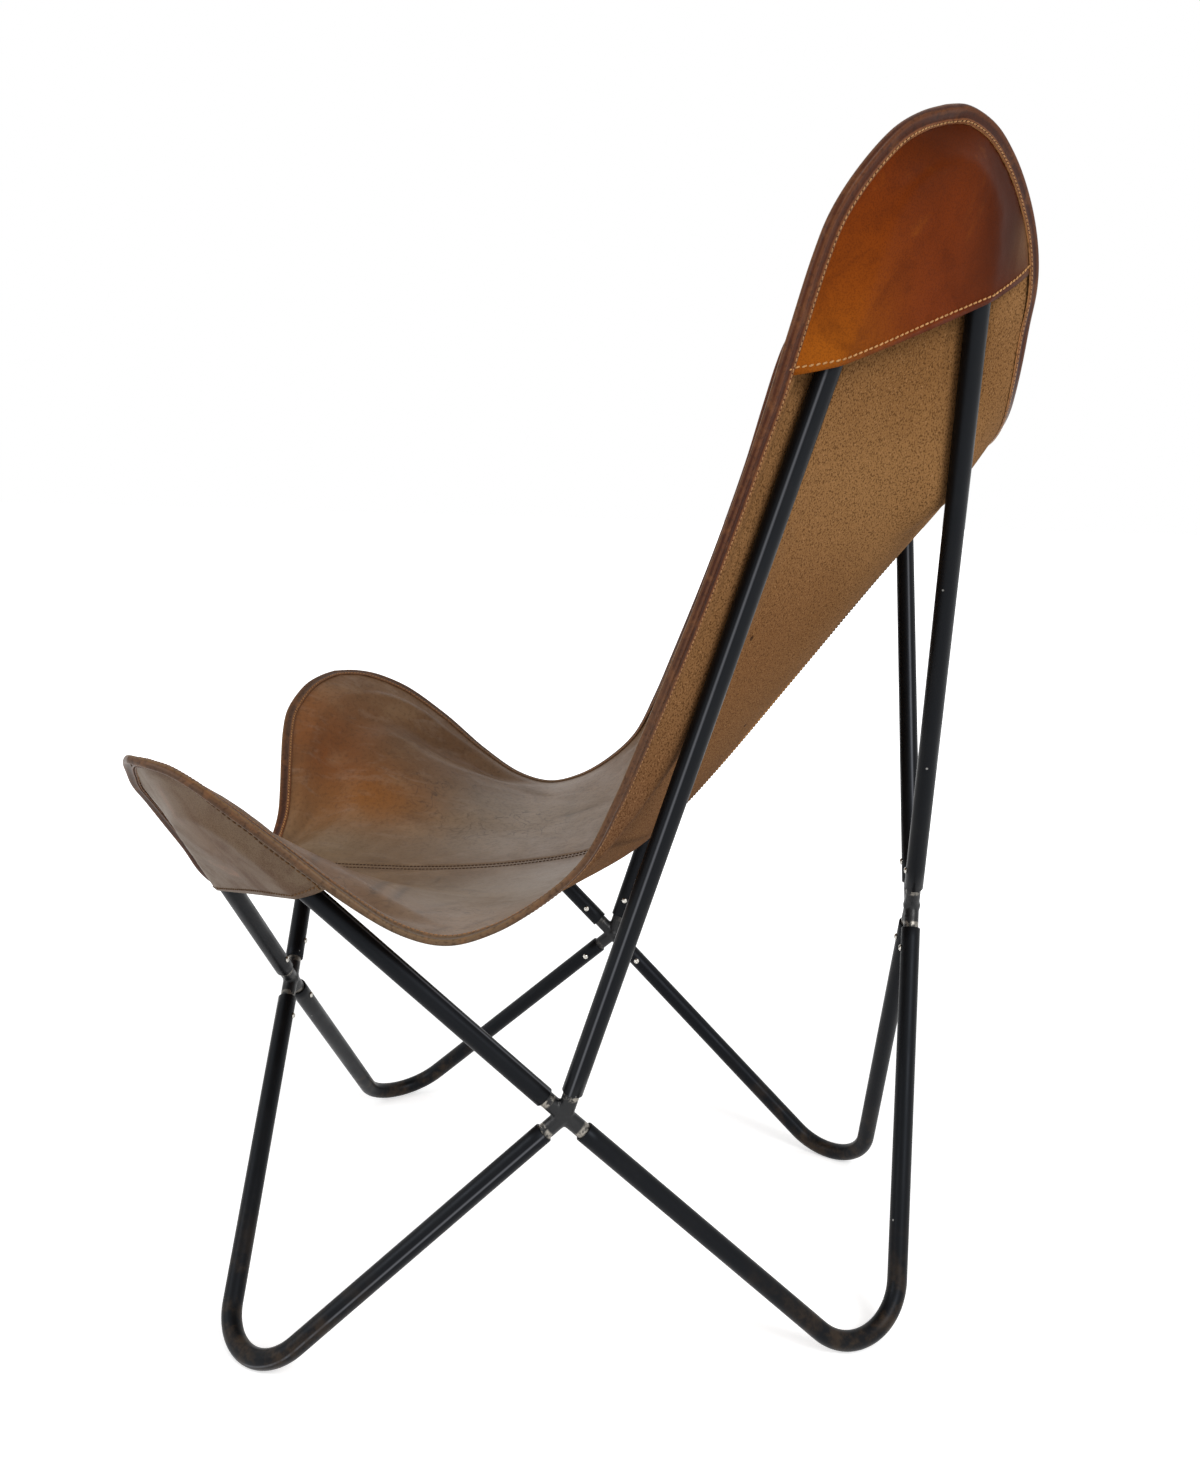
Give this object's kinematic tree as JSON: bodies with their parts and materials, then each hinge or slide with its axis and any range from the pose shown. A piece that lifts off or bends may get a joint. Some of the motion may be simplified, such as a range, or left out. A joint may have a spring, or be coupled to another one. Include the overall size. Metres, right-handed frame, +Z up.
{
  "type": "butterfly sling chair",
  "caption": "Low lounge chair with a leather sling hung by corner pockets on a knock-down frame of bent black steel tubes joined by welded cross connectors.",
  "frame": {"origin": "on the floor under the middle of the chair", "axes": "+Z up, the sitter faces -Y, X = 0 is the mirror plane"},
  "size_m": [0.6606, 0.6534, 0.9019],
  "materials": {
    "tube_black": "satin black powder coat",
    "connector_steel": "satin black, bare grey at the welds",
    "screw_steel": "bright zinc plated dome heads",
    "sling_leather": "waxed brown grain inside, suede outside",
    "pocket_leather": "smooth burnished tan",
    "binding_leather": "dark brown rolled edge"
  },
  "bodies": {
    "root": {"back_horn_left": "tube_black", "back_horn_right": "tube_black", "back_leg_left": "tube_black", "back_leg_right": "tube_black", "connector_front": "connector_steel", "connector_left": "connector_steel", "connector_rear": "connector_steel", "connector_right": "connector_steel", "edge_binding": "binding_leather", "front_horn_left": "tube_black", "front_horn_right": "tube_black", "front_leg_left": "tube_black", "front_leg_right": "tube_black", "pocket_back_left": "pocket_leather", "pocket_back_right": "pocket_leather", "pocket_front_left": "pocket_leather", "pocket_front_right": "pocket_leather", "screw_front_1": "screw_steel", "screw_front_2": "screw_steel", "screw_front_3": "screw_steel", "screw_front_4": "screw_steel", "screw_left_1": "screw_steel", "screw_left_2": "screw_steel", "screw_left_3": "screw_steel", "screw_left_4": "screw_steel", "screw_rear_1": "screw_steel", "screw_rear_2": "screw_steel", "screw_rear_3": "screw_steel", "screw_rear_4": "screw_steel", "screw_right_1": "screw_steel", "screw_right_2": "screw_steel", "screw_right_3": "screw_steel", "screw_right_4": "screw_steel", "sling_left": "sling_leather", "sling_right": "sling_leather"}
  },
  "joints": []
}
